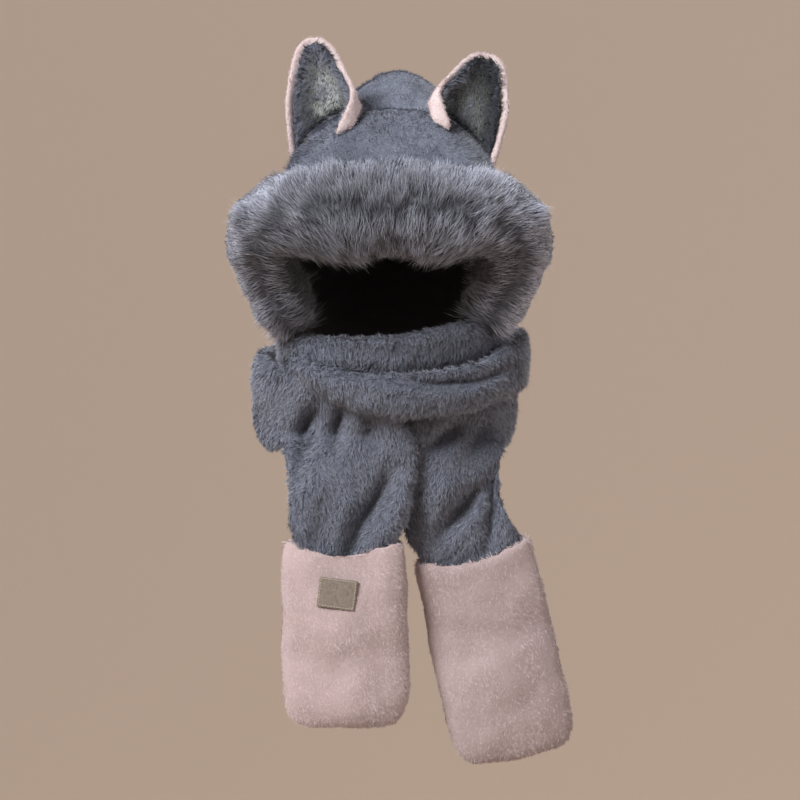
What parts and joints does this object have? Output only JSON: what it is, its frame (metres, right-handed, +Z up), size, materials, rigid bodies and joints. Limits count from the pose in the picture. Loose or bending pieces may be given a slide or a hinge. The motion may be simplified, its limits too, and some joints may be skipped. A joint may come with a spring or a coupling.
{
  "type": "animal hood scarf",
  "caption": "Plush hood with curled ears and a deep fur brim; its scarf panels cross under the chin, wrap the neck and end in soft hand pockets.",
  "frame": {"origin": "the inside of the hood's crown at its low middle, where the head touches it", "axes": "+Z up, front towards -Y, +X to the right as seen from the front"},
  "size_m": [0.4057, 0.3417, 0.8459],
  "materials": {
    "plush_grey": "blue-grey short plush pile, soft sheen",
    "fur_grey": "long grey pile with pale tips and dark roots",
    "plush_pink": "pale pink short plush pile, soft sheen",
    "ear_centre": "pale grey short plush pile",
    "label_linen": "beige woven linen, matt"
  },
  "bodies": {
    "root": {"hood": "plush_grey", "scarf_right": "plush_grey", "scarf_left": "plush_grey", "fur_brim": "fur_grey", "ear_left_back": "plush_pink", "ear_left_face": "plush_grey", "ear_left_centre": "ear_centre", "ear_right_back": "plush_pink", "ear_right_face": "plush_grey", "ear_right_centre": "ear_centre", "pocket_right": "plush_pink", "pocket_left": "plush_pink", "label": "label_linen"}
  },
  "joints": []
}
